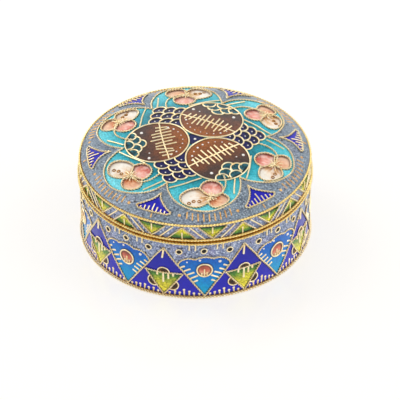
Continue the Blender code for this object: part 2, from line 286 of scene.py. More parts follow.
def speckled_enamel(name, grounds, pale_grain, dark_grain):
    """Grey enamel of coarse unsorted powder, with pale and dark grains of 0.1 to 0.3 mm, drawn twice as
    coarse so that they show, and open pits."""
    material, tree, shader = new_material(name, {"Roughness": 0.3, **ENAMEL_GLASS})
    place = add_node(tree, "TexCoord").outputs["Object"]
    cloud = add_node(tree, "TexNoise", {"Vector": place, "Scale": 230.0, "Detail": 4.0})
    base = add_node(tree, "ValToRGB", {"Fac": cloud.outputs["Fac"]})
    set_stops(base, list(zip((0.3, 0.5, 0.7), grounds)))
    pale, dark = [
        add_node(tree, "TexNoise", {"Vector": place, "Scale": scale, "Detail": 1.0,
                                    "Distortion": distortion}).outputs["Fac"]
        for scale, distortion in ((2700.0, 0.0), (2200.0, 0.4))]
    pit = add_node(tree, "TexVoronoi", {"Vector": place, "Scale": 300.0}).outputs["Distance"]
    colour = base.outputs["Color"]
    for value, low, high, start, end, code in ((pale, 0.54, 0.64, 0.0, 0.9, pale_grain),
                                               (dark, 0.54, 0.64, 0.0, 0.9, dark_grain),
                                               (pit, 0.07, 0.11, 1.0, 0.0, "#2A2C38")):
        mask = add_node(tree, "MapRange", {"Value": value, "From Min": low, "From Max": high,
                                           "To Min": start, "To Max": end})
        colour = add_node(tree, "Mix", {0: mask.outputs[0], 6: colour, 7: linear(code)},
                          data_type="RGBA").outputs[2]
    bump = add_node(tree, "Bump", {"Height": pale, "Strength": 0.4, "Distance": 0.0001})
    tree.links.new(colour, shader.inputs["Base Color"])
    tree.links.new(bump.outputs["Normal"], shader.inputs["Normal"])
    return material


def gilt_brass(name, bright, dull, roughness, gap="#84561E"):
    """Brass wire, fire gilt: bright on top, with painted shade in the gap colour in the seam between
    twisted strands."""
    material, tree, shader = new_material(name, {"Metallic": 1.0})
    place = add_node(tree, "TexCoord").outputs["Object"]
    # Wear in patches of 0.8 mm
    patches = add_node(tree, "TexNoise", {"Vector": place, "Scale": 1300.0, "Detail": 3.0})
    wear = patches.outputs["Fac"]
    colour = add_node(tree, "ValToRGB", {"Fac": wear})
    set_stops(colour, [(0.32, dull), (0.58, bright)])
    # Painted shade where the two twisted strands meet, in the gap colour
    waist = add_node(tree, "Attribute", attribute_name="waist").outputs["Fac"]
    seam = add_node(tree, "MapRange", {"Value": waist, "From Min": 0.65})
    seamed = add_node(tree, "Mix", {0: seam.outputs[0], 6: colour.outputs["Color"], 7: linear(gap)},
                      data_type="RGBA")
    rough = add_node(tree, "MapRange", {"Value": wear, "To Min": roughness + 0.1,
                                        "To Max": roughness - 0.05})
    tree.links.new(seamed.outputs[2], shader.inputs["Base Color"])
    tree.links.new(rough.outputs[0], shader.inputs["Roughness"])
    return material


TEAL = fired_enamel("fired_teal_enamel", [(0.0, "#187A8A"), (0.4, "#2EA8B8"), (1.0, "#66CEDA")], "#0C3036",
                    0.35, clouds=0.8)
ROYAL = fired_enamel("fired_royal_blue_enamel", [(0.0, "#101898"), (1.0, "#2620BC")], "#08083C", 0.12)
AZURE = fired_enamel("fired_azure_enamel", [(0.0, "#00A4CC"), (0.5, "#007AC8"), (1.0, "#0052B4")], "#041C44",
                     0.2)
NAVY = fired_enamel("fired_navy_enamel", [(0.0, "#121230"), (1.0, "#26266A")], "#06060F")
UMBER = fired_enamel("fired_umber_enamel", [(0.05, "#94562A"), (0.4, "#74442C"), (0.72, "#4C3A34"),
                                            (1.0, "#3A3230")], "#1C100C", 0.35)
SEA = fired_enamel("fired_sea_green_enamel", [(0.0, "#0E2C38"), (0.6, "#24606C"), (1.0, "#4A98A0")],
                   "#081A1E")
LEAF = fired_enamel("fired_leaf_green_enamel", [(0.0, "#1E4E28"), (0.22, "#5A8A2E"), (0.48, "#CCC436"),
                                                (1.0, "#F0DE44")], "#1E3A18", 0.6)
WHITE = fired_enamel("fired_white_enamel", [(0.0, "#A85A30"), (0.28, "#E4B47C"), (0.6, "#F2EADC")],
                     "#6E4420", 0.06, streaks="#FBF6EE")
PINK = fired_enamel("fired_pink_enamel", [(0.0, "#F4C8B4"), (0.5, "#F0A492"), (0.9, "#C85848")], "#4C1810",
                    0.1, streaks="#FADCD0")
CORAL = fired_enamel("fired_coral_enamel", [(0.0, "#7A2A12"), (0.32, "#DA7C4A"), (0.7, "#F0C6A8")],
                     "#4C1C10", 0.1, streaks="#FAD0A8")
# Pink enamel that darkens towards the medallion's top, where the dark red-brown is painted shade
MEDAL = fired_enamel("fired_medallion_enamel", [(0.0, "#F4C8A8"), (0.5, "#CC6C56"), (1.0, "#5E2014")],
                     "#2A0E08", 0.2)
BARK = fired_enamel("fired_bark_enamel", [(0.25, "#1E1008"), (0.55, "#5A3A1A"), (0.95, "#C0964C")],
                    "#1C0E06", 0.4)
PEARL = fired_enamel("fired_pearl_dots", [(0.0, "#F2EEE8"), (1.0, "#E4D8D0")], "#E4D8D0", 0.03)
LID_GREY = speckled_enamel("speckled_lid_enamel", ("#667482", "#788896", "#767E92"), "#B4C0CC", "#404856")
WALL_GREY = speckled_enamel("speckled_wall_enamel", ("#667694", "#808EB2", "#8486B0"), "#DCE4F2", "#2E364C")
# The gap colours are painted shade between twisted strands: dark brown on the wires and the foot rope, light
# amber on the other ropes
GILT = gilt_brass("gilt_wire", "#FFF2CC", "#FADA9C", 0.36)
ROPE_GILT = gilt_brass("gilt_rope", "#FFEEA8", "#FFDC84", 0.26, "#F2B44C")
FLAT_GILT = gilt_brass("gilt_ticks", "#EEC280", "#C08C4E", 0.5)
SHEET_GILT = gilt_brass("gilt_sheet", "#D8AC60", "#B08438", 0.36)
# Gilt darkened as painted shade in the groove at the seam between lid and body; the rings in the white
# petals are drawn with it too
SEAM_GILT = gilt_brass("shaded_seam_gilt", "#C08428", "#7C4A12", 0.45)
SHELL_FINISHES = (WALL_GREY, SHEET_GILT, SEAM_GILT)


# Making pieces


def add_object(name, data):
    thing = bpy.data.objects.new(name, data)
    bpy.context.scene.collection.objects.link(thing)
    return thing


def finish_piece(name, mesh, materials, sharp):
    """Make the mesh a piece of the box that rides with it."""
    mesh.name = name
    for material in materials:
        mesh.materials.append(material)
    mesh.shade_smooth()
    mesh.set_sharp_from_angle(angle=math.radians(sharp))
    piece = add_object(name, mesh)
    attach(piece, "root")
    return piece


def mesh_from(bm, name):
    mesh = bpy.data.meshes.new(name)
    bm.to_mesh(mesh)
    bm.free()
    return mesh


def cut_grid(bm, step):
    """Cut the flat drawing into facets that are small enough to bend."""
    for axis in (0, 1):
        low = min(vert.co[axis] for vert in bm.verts)
        high = max(vert.co[axis] for vert in bm.verts)
        direction = Vector((axis == 0, axis == 1, 0))
        for line in range(math.floor(low / step) + 1, math.ceil(high / step)):
            bmesh.ops.bisect_plane(bm, geom=bm.verts[:] + bm.edges[:] + bm.faces[:], dist=1e-5,
                                   plane_co=direction * (line * step + 0.013), plane_no=direction)


CELL_LAYERS = ("rim", "shade", "turn")


class Enamelwork:
    """Collects the cells that are filled with one enamel."""

    def __init__(self, name, material, place):
        self.name, self.material, self.place = name, material, place
        self.bm = bmesh.new()
        for layer in CELL_LAYERS:
            self.bm.verts.layers.float.new(layer)

    def lay(self, outline, levels, shade, turn=None, holes=(), wall=0.2, slope=0.3, step=CUT):
        """Fill one cell, as a closed slab. Its edge stands at the wires' middle, drops along them and
        runs out in a short slope. shade(spot) says how its colour was shaded in, and in the medallions also
        where painted shade falls; turn(spot) says which way its brush strokes go."""
        level, lip = levels
        cell = bmesh.new()
        rim, shading, turning = [cell.verts.layers.float.new(layer) for layer in CELL_LAYERS]
        loops = []
        for loop in (outline, *holes):
            corners = [cell.verts.new((spot[0], spot[1], level - SLAB)) for spot in loop]
            loops += [cell.edges.new(pair) for pair in zip(corners, corners[1:] + corners[:1])]
        if holes:
            bmesh.ops.triangle_fill(cell, use_beauty=True, use_dissolve=False, edges=loops, normal=(0, 0, 1))
        else:
            cell.faces.new(cell.verts)
        grown = bmesh.ops.extrude_face_region(cell, geom=cell.faces[:], use_keep_orig=True)["geom"]
        top = [item for item in grown if isinstance(item, bmesh.types.BMFace)]
        half_way = level + (lip - level) * 0.55
        # rim is 1 at the wires, 0.85 down their side and 0 past the slope; the material turns it into the
        # rim colour, partly thicker glass and partly painted shade along the wires
        for inset, height, darkness in ((0, lip, 1.0), (wall, half_way, 0.85), (slope, level, 0.0)):
            if inset:
                bmesh.ops.inset_region(cell, faces=top, thickness=inset, depth=0.0,
                                       use_even_offset=True, use_boundary=True)
            for vert in {vert for face in top for vert in face.verts}:
                vert.co.z = height
                vert[rim] = darkness
        cut_grid(cell, step)
        for vert in cell.verts:
            vert[shading] = shade(vert.co.xy)
            if turn:
                vert[turning] = turn(vert.co.xy)
            vert.co = self.place(*vert.co)
        bmesh.ops.recalc_face_normals(cell, faces=cell.faces)
        laid = mesh_from(cell, "cell")
        self.bm.from_mesh(laid)
        bpy.data.meshes.remove(laid)

    def build(self):
        finish_piece(self.name, mesh_from(self.bm, self.name), [self.material], 50)


def even_points(points, closed, spacing, per_turn=1):
    """Points at an even spacing along a line in space, a whole number of turns where it is closed."""
    line = list(points) + ([points[0]] if closed else [])
    lengths = [0.0]
    for start, end in zip(line, line[1:]):
        lengths.append(lengths[-1] + (end - start).length)
    count = max(2, round(lengths[-1] / spacing / per_turn) * per_turn)
    spots = []
    span = 0
    for step in range(count if closed else count + 1):
        distance = lengths[-1] * step / count
        while span < len(line) - 2 and lengths[span + 1] < distance:
            span += 1
        share = (distance - lengths[span]) / max(lengths[span + 1] - lengths[span], 1e-12)
        spots.append(line[span].lerp(line[span + 1], share))
    return spots


def strand_section(thickness):
    """The outline of two round strands that lie side by side."""
    half = thickness / 4 * MM
    points = []
    for hand in (1, -1):
        for degrees in (-138, -70, 0, 70, 138):
            angle = math.radians(degrees)
            points.append(Vector((half + half * math.cos(angle), half * math.sin(angle), 0)) * hand)
    return points


def round_section(thickness, sides=7):
    return [Vector((*(polar(thickness / 2 * MM, 360 * side / sides)), 0)) for side in range(sides)]


def sweep_wire(name, runs, section, spacing, twist=0.0, per_turn=1):
    """The mesh of a section swept along runs of (points, closed) and turned by twist at each step."""
    outline = bpy.data.curves.new(name + "_section", "CURVE")
    outline.dimensions = "2D"
    ring = outline.splines.new("POLY")
    ring.points.add(len(section) - 1)
    for spot, corner in zip(ring.points, section):
        spot.co = (*corner, 1)
    ring.use_cyclic_u = True
    die = bpy.data.objects.new(name + "_section", outline)
    curve = bpy.data.curves.new(name, "CURVE")
    curve.dimensions = "3D"
    curve.bevel_mode = "OBJECT"
    curve.bevel_object = die
    curve.use_fill_caps = True
    for points, closed in runs:
        spots = even_points(points, closed, spacing * MM, per_turn)
        spline = curve.splines.new("POLY")
        spline.points.add(len(spots) - 1)
        spline.use_cyclic_u = closed
        for index, (spot, at) in enumerate(zip(spline.points, spots)):
            spot.co = (*at, 1)
            spot.tilt = twist * index % math.tau
    wire = add_object(name, curve)
    mesh = bpy.data.meshes.new_from_object(wire.evaluated_get(bpy.context.evaluated_depsgraph_get()))
    bpy.data.objects.remove(wire)
    bpy.data.objects.remove(die)
    bpy.data.curves.remove(curve)
    bpy.data.curves.remove(outline)
    mesh.materials.clear()
    return mesh


def twisted_wire(runs, thickness, turn, name):
    """Two strands twisted together, with waist = 1 where they meet."""
    section = strand_section(thickness)
    mesh = sweep_wire(name, runs, section, turn / STRAND_RINGS, math.tau / STRAND_RINGS, STRAND_RINGS)
    waist = mesh.attributes.new("waist", "FLOAT", "POINT")
    for index, item in enumerate(waist.data):
        item.value = 1.0 if index % 5 in (0, 4) else 0.0
    return mesh


def join_meshes(name, meshes):
    bm = bmesh.new()
    bm.verts.layers.float.new("waist")
    for mesh in meshes:
        bm.from_mesh(mesh)
        bpy.data.meshes.remove(mesh)
    return mesh_from(bm, name)


def bead_mesh(name, place, beads):
    """Low domed drops: each is (x, y, level, radius, height)."""
    bm = bmesh.new()
    for x, y, level, radius, height in beads:
        foot = place(x, y, level)
        up = (place(x, y, level + 0.5) - foot).normalized()
        turn = up.to_track_quat("Z", "Y").to_matrix().to_4x4()
        size = Matrix.Diagonal((radius * MM, radius * MM, height * MM, 1))
        bmesh.ops.create_uvsphere(bm, u_segments=8, v_segments=6, radius=1.0,
                                  matrix=Matrix.Translation(foot) @ turn @ size)
    return mesh_from(bm, name)


class Wirework:
    """Collects the wires and beads that are laid on one enamelled piece."""

    def __init__(self, place):
        self.place = place
        self.runs = {kind: [] for kind in (*WIRES, "twisted")}
        self.beads = []

    def line(self, kind, spots, closed=False, level=0.0, step=0.3):
        """Lay a wire along the drawing's spots."""
        flat = even_points([Vector((spot[0], spot[1], 0)) for spot in spots], closed, step)
        self.runs[kind].append(([self.place(spot.x, spot.y, level) for spot in flat], closed))

    def stroke(self, start, end, kind="fine", level=-0.04, ball=1.3, both=False):
        """A short straight wire with a melted ball at its end."""
        self.line(kind, [start, (Vector(start) + Vector(end)) / 2, end], level=level, step=0.6)
        for spot in ([start, end] if both else [end]):
            self.bead(spot, WIRES[kind] / 2 * ball, WIRES[kind] / 2 * 1.1, level)

    def bead(self, spot, radius, height, level=-0.04):
        self.beads.append((spot[0], spot[1], level, radius, height))

    def build(self, name, material, slot="gilt_wire", sharp=80):
        meshes = [sweep_wire(name + "_" + kind, self.runs[kind], round_section(thickness), PLAIN_STEP)
                  for kind, thickness in WIRES.items() if self.runs[kind]]
        if self.runs["twisted"]:
            meshes.append(twisted_wire(self.runs["twisted"], TWISTED_WIRE, WIRE_TURN, name + "_twisted"))
        if self.beads:
            meshes.append(bead_mesh(name + "_beads", self.place, self.beads))
        finish_piece(name, join_meshes(name, meshes), [material], sharp)


def turned_shell(name, node, profile, grey, seam):
    """Spin a closed profile of (radius, height) about the axis. Between the heights in grey the wall has
    the first of SHELL_FINISHES, and outside a radius and between two heights, in seam, the last, a gilt
    darkened as painted shade in the groove."""
    bm = bmesh.new()
    points = [bm.verts.new((radius * MM, 0, height * MM)) for radius, height in profile]
    edges = [bm.edges.new(pair) for pair in zip(points, points[1:])]
    bmesh.ops.spin(bm, geom=points + edges, cent=(0, 0, 0), axis=(0, 0, 1), angle=math.tau,
                   steps=180, use_merge=True)
    bmesh.ops.remove_doubles(bm, verts=bm.verts, dist=0.0005 * MM)
    bmesh.ops.recalc_face_normals(bm, faces=bm.faces)
    for face in bm.faces:
        middle = face.calc_center_median() / MM
        radius = math.hypot(middle.x, middle.y)
        if radius > SUNK - 0.01 and grey[0] < middle.z < grey[1]:
            face.material_index = 0
        else:
            face.material_index = 2 if radius > seam[0] and seam[1] < middle.z < seam[2] else 1
    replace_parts(finish_piece(name, mesh_from(bm, name), SHELL_FINISHES, 30), node)


# The body and the lid as metal shells


def make_body_shell():
    profile = [
        (0, 0), (SEAT_RADIUS - 0.3, 0), (SEAT_RADIUS, 0.3), (SEAT_RADIUS, FOOT_TOP),
        (SUNK, FOOT_TOP), (SUNK, MOUTH_BOTTOM), (SEAT_RADIUS, MOUTH_BOTTOM), (SEAT_RADIUS, RIM_Z - 0.1),
        (SEAT_RADIUS - 0.1, RIM_Z), (LIP_OUTER, RIM_Z), (LIP_OUTER, SEAM_Z + LIP_RISE - 0.2),
        (LIP_OUTER - 0.2, SEAM_Z + LIP_RISE), (LIP_INNER + 0.2, SEAM_Z + LIP_RISE),
        (LIP_INNER, SEAM_Z + LIP_RISE - 0.2), (LIP_INNER, SEAM_Z - LIP_DEPTH),
        (INNER_RADIUS, SEAM_Z - LIP_DEPTH), (INNER_RADIUS, FLOOR + FLOOR_BEVEL),
        (INNER_RADIUS - FLOOR_BEVEL, FLOOR), (0, FLOOR),
    ]
    turned_shell("body_shell", "box_body", profile, (FOOT_TOP, MOUTH_BOTTOM),
                 (LIP_OUTER + 0.05, MOUTH_BOTTOM, math.inf))


def make_lid_shell():
    outside, inside = [], []
    for side, reach, depth in ((outside, DOME_EDGE - 0.5, -SHEET), (inside, INNER_RADIUS, WALL)):
        edge_lean = math.asin((reach - SHOULDER_X) / (SHOULDER_RADIUS - depth))
        crown = [CROWN_LEAN * step / 10 for step in range(11)]
        shoulder = [CROWN_LEAN + (edge_lean - CROWN_LEAN) * step / 12 for step in range(1, 13)]
        side += [dome_point(lean, depth) for lean in crown + shoulder]
    rim_top = DOME_EDGE_Z - 0.25
    edge = [
        (DOME_EDGE - 0.35, rim_top), (DOME_EDGE, rim_top), (DOME_EDGE, BAND_TOP), (SUNK, BAND_TOP),
        (SUNK, BAND_BOTTOM), (SEAT_RADIUS, BAND_BOTTOM), (SEAT_RADIUS, LID_EDGE_Z),
        (INNER_RADIUS, LID_EDGE_Z),
    ]
    turned_shell("lid_shell", "lid", outside + edge + inside[::-1], (BAND_BOTTOM, BAND_TOP),
                 (INNER_RADIUS + 0.05, 0, BAND_BOTTOM))


def make_ropes():
    """The four twisted rings."""
    for node, reach, height, thickness in (("foot_rope", BOX_RADIUS, FOOT_ROPE_Z, FOOT_ROPE),
                                           ("mouth_rope", BOX_RADIUS, MOUTH_ROPE_Z, ROPE),
                                           ("lid_edge_rope", BOX_RADIUS, LID_ROPE_Z, ROPE),
                                           ("lid_shoulder_rope", SHOULDER_REACH, SHOULDER_ROPE_Z, ROPE)):
        radius = (reach - thickness / 2) * MM
        run = [Vector((*polar(radius, degrees), height * MM)) for degrees in range(0, 360, 2)]
        mesh = twisted_wire([(run, True)], thickness, ROPE_TURN, node)
        finish = GILT if node == "foot_rope" else ROPE_GILT
        rope = finish_piece(node + "_twist", mesh, [finish], 80)
        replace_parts(rope, node)


# The lid's drawing, in millimetres on its plan, with turns in degrees

MIDDLE = Vector((0, 0))
HUB = 2.4
DISC_TURNS = (64.0, 184.0, 306.0)
DISC_REACH = 9.6
DISC_SIZE = 8.08
# A disc's leaf: its spine's turn and offset, and its bars, which shorten towards the tips
VEIN_TURNS = (-94.0, -84.0, -90.0)
VEIN_OFFSET = 1.7
BARS = 10
FIRST_BAR = -6.0
BAR_PITCH = 1.3
BAR_REACH = 3.1
LEAF_TIP = 7.8
# A disc's pearl dots: an arc, and lone ones by turn, share of the radius and size
PEARLS = 9
PEARL_TURN = -62
PEARL_PITCH = 15.5
LONE_PEARLS = ((-51, 0.72, 0.42), (69, 0.83, 0.4), (64, 0.6, 0.2))
# A disc's sea green scales, row by row: lift, distance from the middle and turns
SEA_ROWS = ((0.0, 4.1, (2,)), (0.015, 5.7, (-16, 19)), (0.03, 7.3, (-28, 1, 30)))
SEA_WIDTH = 1.62
SEA_HEIGHT = 1.4
# The navy scales' clusters, rows and sizes
CLUSTER_TURNS = (124.0, 247.0, 8.5)
CLUSTER_ROWS = (1, 2, 3, 2, 1)
CLUSTER_REACH = 8.6
SCALE_WIDTH = 3.8
SCALE_HEIGHT = 1.55
SCALE_STEP = 1.93
SCALE_LIFT = 0.012
LOBE_TURN = 37.0
VALLEY_REACH = 18.1
LOBE_REACH = 26.2
HEART_REACH = 21.5
PETAL_STEP = 0.55
FAN_TIP = 21.5
FAN_EDGE = 27.3
FAN_HALF = 10.2
# A fan's strokes: turn and length
FAN_STROKES = ((-7.2, 0.4), (-4.9, 0.8), (-2.6, 1.2), (-0.4, 2.2), (1.9, 1.2), (4.2, 0.9), (6.5, 0.5))
TICK_PITCH = 2.9
TICK = 1.5
RIM_BEAD_REACH = 27.1
RIM_BEAD_TURN = 15.5

# Each petal: its colour, direction from the lobe's, distance of its middle from the heart, half length,
# half width and how far its long axis leans
PETALS = (
    ("white", -88.0, 3.9, 4.2, 3.05, 12.0),
    ("coral", 50.0, 2.6, 2.8, 2.6, 0.0),
    ("pink", 163.0, 2.6, 2.8, 2.8, 0.0),
)
# How far each blossom was laid outwards, sideways and turned
BLOSSOM_DRIFTS = ((0.6, -0.8, -8), (0.0, -0.2, 6), (0.2, -1.4, -10),
                  (-1.0, 0.8, 6), (0.2, 1.0, 0), (0.2, -0.3, 6))
# What lies in and beside a blossom, by how far out and aside: the white petal's rings, the stem's bends,
# a leaf beside it and a rib on the other side
PETAL_RINGS = ((2.9, 0.5), (4.2, 0.1), (5.5, 0.4))
PETAL_RING = 0.42
STEM = ((14.9, 5.3), (18.6, 5.9), (21.2, 4.6))
STEM_LEAF = ((16.2, 7.8), (21.2, 6.9))
RIB = ((15.4, -0.3), (16.6, -4.4), (17.4, -8.7))
STAMENS = 11


def lobe_circle():
    """How far out the middle of a lobe's circle is, and its radius."""
    valley = polar(VALLEY_REACH, 30)
    rise = LOBE_REACH - valley.x
    size = valley.y ** 2 / (2 * rise) + rise / 2
    return LOBE_REACH - size, size


def lobe_arc(index, count=26):
    """One lobe's outline, from its valley on one side to the next."""
    angle = LOBE_TURN + 60 * index
    valley = polar(VALLEY_REACH, 30)
    middle, size = lobe_circle()
    sweep = math.degrees(math.atan2(valley.y, valley.x - middle))
    return [polar(middle, angle) + polar(size, angle + sweep * (2 * step / count - 1))
            for step in range(count)]


def petal_reach(direction, petal):
    """How far an oval petal reaches from the heart in a direction, which is given from the lobe's."""
    kind, turn, distance, length, width, lean = petal
    centre = polar(distance, -lean)
    way = polar(1, direction - turn - lean)
    a = (way.x / length) ** 2 + (way.y / width) ** 2
    b = way.x * centre.x / length ** 2 + way.y * centre.y / width ** 2
    c = (centre.x / length) ** 2 + (centre.y / width) ** 2 - 1
    return (b + math.sqrt(b * b - a * c)) / a


def blossom(index, count=120):
    """A blossom's heart, its turn, its outline, and the share of it that each petal has."""
    angle = LOBE_TURN + 60 * index
    outwards, sideways, drift = BLOSSOM_DRIFTS[index]
    heart = polar(HEART_REACH + outwards, angle) + polar(sideways, angle + 90)
    turn = angle + drift
    edge = [max((petal_reach(360 * step / count - turn, petal), petal[0]) for petal in PETALS)
            for step in range(count)]
    # No petal reaches as far as the lobe's own wire
    middle, size = lobe_circle()
    offset = heart - polar(middle, angle)
    outline = []
    for step, (reach, kind) in enumerate(edge):
        way = polar(1, 360 * step / count)
        along = offset.dot(way)
        room = math.sqrt(along ** 2 - offset.length_squared + (size - 0.5) ** 2) - along
        outline.append(heart + way * (reach ** -8 + room ** -8) ** (-1 / 8))
    shares = {}
    rounds = []
    for petal in PETALS:
        owned = [step for step in range(count) if edge[step][1] == petal[0]]
        first = next(step for step in owned if edge[step - 1][1] != petal[0])
        share = [outline[(first + step) % count] for step in range(len(owned) + 1)]
        shares[petal[0]] = even_points(share, False, PETAL_STEP)
        rounds.append((first, shares[petal[0]]))
    outline = [spot for first, share in sorted(rounds, key=lambda item: item[0]) for spot in share[:-1]]
    return heart, turn, outline, shares


def scale_arc(centre, way, half, height, leg):
    """The round end of one scale, between two straight legs."""
    side = turned(way, 90)
    arc = [(half * math.cos(math.radians(turn)), height * math.sin(math.radians(turn)))
           for turn in range(0, 181, 20)]
    return [centre + side * across + way * along for across, along in [(half, -leg), *arc, (-half, -leg)]]


def lay_blossoms(wires, rings):
    """Six blossoms, each of three sunk petals with painted streaks, and the rosette that they sit in."""
    rosette = [spot for index in range(6) for spot in lobe_arc(index)]
    flowers = [blossom(index) for index in range(6)]
    field = Enamelwork("lid_speckled_field", LID_GREY, on_dome)
    field.lay(circle(MIDDLE, FIELD_EDGE, 120), FIELD, lambda spot: 0.5, holes=[rosette], step=FIELD_CUT)
    field.build()
    teal = Enamelwork("lid_teal_rosette", TEAL, on_dome)
    teal.lay(rosette, FIELD, lambda spot: (math.hypot(*spot) - 15) / 10,
             holes=[outline for heart, turn, outline, shares in flowers], slope=0.2)
    teal.build()
    wires.line("twisted", rosette, closed=True)

    petals = {kind: Enamelwork("lid_" + kind + "_petals", material, on_dome)
              for kind, material in (("white", WHITE), ("coral", CORAL), ("pink", PINK))}
    for index, (heart, turn, outline, shares) in enumerate(flowers):
        wires.line("twisted", outline, closed=True)
        for kind, direction, distance, length, width, lean in PETALS:
            far = distance + length
            facing = polar(1, turn + direction)

            def spread(spot):
                way = spot - heart
                return facing.angle_signed(way, 0.0) + 5 * index if way.length > 0.01 else 5 * index

            petals[kind].lay(shares[kind] + [heart], PETAL,
                             lambda spot: (spot - heart).length / far, spread,
                             slope=0.36, step=SMALL_CUT)
            wires.line("twisted", [heart, shares[kind][0]])
        row = polar(1, turn + PETALS[0][1] + 6)
        for along, aside in PETAL_RINGS:
            spot = heart + row * along + turned(row, 90) * aside
            rings.line("hair", circle(spot, PETAL_RING, 10), closed=True, level=PETAL[0] + 0.08, step=0.2)
        rng = random.Random(index)
        for stamen in range(STAMENS):
            way = turn + 360 * stamen / STAMENS + rng.uniform(-9, 9)
            reach = rng.uniform(1.0, 2.1)
            wires.stroke(heart + polar(reach * 0.3, way), heart + polar(reach, way), "hair",
                         level=-0.03, ball=1.5)
        wires.bead(heart, 0.3, 0.22)

        out, side = polar(1, LOBE_TURN + 60 * index), polar(1, LOBE_TURN + 60 * index + 90)
        path, leaf, rib = [[out * along + side * aside for along, aside in bends]
                           for bends in (STEM, STEM_LEAF, RIB)]
        path.append(heart + polar(1.0, turn + 80))
        stem = [path[0] * (1 - t) ** 3 + path[1] * 3 * t * (1 - t) ** 2 + path[2] * 3 * t * t * (1 - t)
                + path[3] * t ** 3 for t in [step / 10 for step in range(11)]]
        wires.line("twisted", stem)
        wires.stroke(*leaf, "plain", ball=1.1)
        wires.line("plain", rib)
    for enamel in petals.values():
        enamel.build()


def lay_fans(wires):
    """Six blue fans between the lobes, with a row of strokes along each one's outer edge."""
    fans = Enamelwork("lid_royal_fans", ROYAL, on_dome)
    rng = random.Random(11)
    for index in range(6):
        angle = LOBE_TURN + 30 + 60 * index
        tip = polar(FAN_TIP, angle)
        sides = []
        for hand in (-1, 1):
            waist = polar((FAN_TIP + FAN_EDGE) / 2 + 0.3, angle + hand * 1.2)
            corner = polar(FAN_EDGE - 0.5, angle + hand * FAN_HALF)
            sides.append([tip * (1 - t) ** 2 + waist * 2 * t * (1 - t) + corner * t ** 2
                          for t in (0.2, 0.4, 0.6, 0.8, 0.92, 1.0)])
        arc = [polar(FAN_EDGE, angle + FAN_HALF * turn) for turn in (-0.8, -0.4, 0.0, 0.4, 0.8)]
        outline = [tip] + sides[0] + arc + sides[1][::-1]
        fans.lay(outline, CELL, lambda spot: (math.hypot(*spot) - FAN_TIP) / 6)
        wires.line("twisted", outline, closed=True)
        for turn, reach in FAN_STROKES:
            start = polar(FAN_EDGE - 0.2, angle + turn)
            wires.stroke(start, start - polar(reach * rng.uniform(0.7, 1.2), angle + turn * 0.4), ball=1.2)
    fans.build()


def lay_navy_scales(wires, dots):
    """Three clusters of nine fish scales between the discs, and the small cell in the middle."""
    navy = Enamelwork("lid_navy_scales", NAVY, on_dome)
    discs = [polar(DISC_REACH, angle) for angle in DISC_TURNS]
    navy.lay(circle(MIDDLE, HUB, 16), SCALES, lambda spot: 0.5)
    dots.bead(MIDDLE, 0.36, 0.2, SCALES[0])
    for angle in CLUSTER_TURNS:
        way, side = polar(1, angle), polar(1, angle + 90)
        for row, count in enumerate(CLUSTER_ROWS):
            lift = SCALE_LIFT * (4 - row)
            for column in range(count):
                across = (column - (count - 1) / 2) * SCALE_WIDTH
                centre = way * (CLUSTER_REACH + SCALE_STEP * row) + side * across
                leg = 3.4 if row == 0 else 1.4
                navy.lay(scale_arc(centre, way, SCALE_WIDTH / 2, SCALE_HEIGHT, leg),
                         (SCALES[0] + lift, SCALES[1] + lift), lambda spot: 0.5, slope=0.35)
                arc = [spot for spot in scale_arc(centre, way, SCALE_WIDTH / 2, SCALE_HEIGHT, 0.4)
                       if min((spot - disc).length for disc in discs) > DISC_SIZE - 0.1]
                wires.line("plain", arc, level=-0.02)
                dots.bead(centre + way * 0.35, 0.2, 0.12, SCALES[0] + lift)
    navy.build()


def lay_discs(wires, dots):
    """Three discs, each with a leaf's veins, a few sea green scales at its outer edge and pearl dots."""
    umber = Enamelwork("lid_umber_discs", UMBER, on_dome)
    sea = Enamelwork("lid_sea_scales", SEA, on_dome)
    rng = random.Random(5)
    for angle, vein_turn in zip(DISC_TURNS, VEIN_TURNS):
        centre = polar(DISC_REACH, angle)
        outward = polar(1, angle)
        ring = circle(centre, DISC_SIZE, 56)
        umber.lay(ring, DISC, lambda spot: 0.5 + 0.5 * (spot - centre).dot(outward) / DISC_SIZE)
        wires.line("plain", ring, closed=True, level=-0.02, step=0.4)
        spine = polar(1, angle + vein_turn)
        bar_way = turned(spine, 90)
        middle = centre - bar_way * VEIN_OFFSET
        half = math.sqrt(DISC_SIZE ** 2 - VEIN_OFFSET ** 2) - 0.1
        wires.line("plain", [middle - spine * half, middle + polar(0.25, angle), middle + spine * half],
                   level=-0.04)
        for bar in range(BARS):
            along = FIRST_BAR + BAR_PITCH * bar + rng.uniform(-0.15, 0.15)
            reach = BAR_REACH * (1 - (along / LEAF_TIP) ** 2) + 0.1
            spot = middle + spine * along
            bend = spine * rng.uniform(-0.3, 0.3)
            start = spot - bar_way * reach * rng.uniform(0.55, 1.0) - bend
            end = spot + bar_way * reach * rng.uniform(0.55, 1.0) + bend
            wires.stroke(start, end, "plain", both=True, ball=1.05)
        for step in range(PEARLS):
            spot = centre - polar(DISC_SIZE * 0.8, angle + PEARL_TURN + PEARL_PITCH * step)
            size = rng.uniform(0.14, 0.32)
            dots.bead(spot, size, size * 0.6, DISC[0])
        for turn, share, size in LONE_PEARLS:
            dots.bead(centre + polar(DISC_SIZE * share, angle + turn), size, size * 0.6, DISC[0])
        for lift, reach, turns in SEA_ROWS:
            for turn in turns:
                spot = centre + polar(reach, angle + turn)
                inward = polar(-1, angle + turn * 0.6)
                leg = DISC_SIZE - 0.25 - reach if (lift, reach, turns) == SEA_ROWS[-1] else 1.0
                sea.lay(scale_arc(spot, inward, SEA_WIDTH, SEA_HEIGHT, leg),
                        (SEA_SCALES[0] + lift, SEA_SCALES[1] + lift),
                        lambda at: (at - spot).length / 1.5, slope=0.4, step=SMALL_CUT)
                wires.line("plain", scale_arc(spot, inward, SEA_WIDTH, SEA_HEIGHT, 0.3))
    umber.build()
    sea.build()


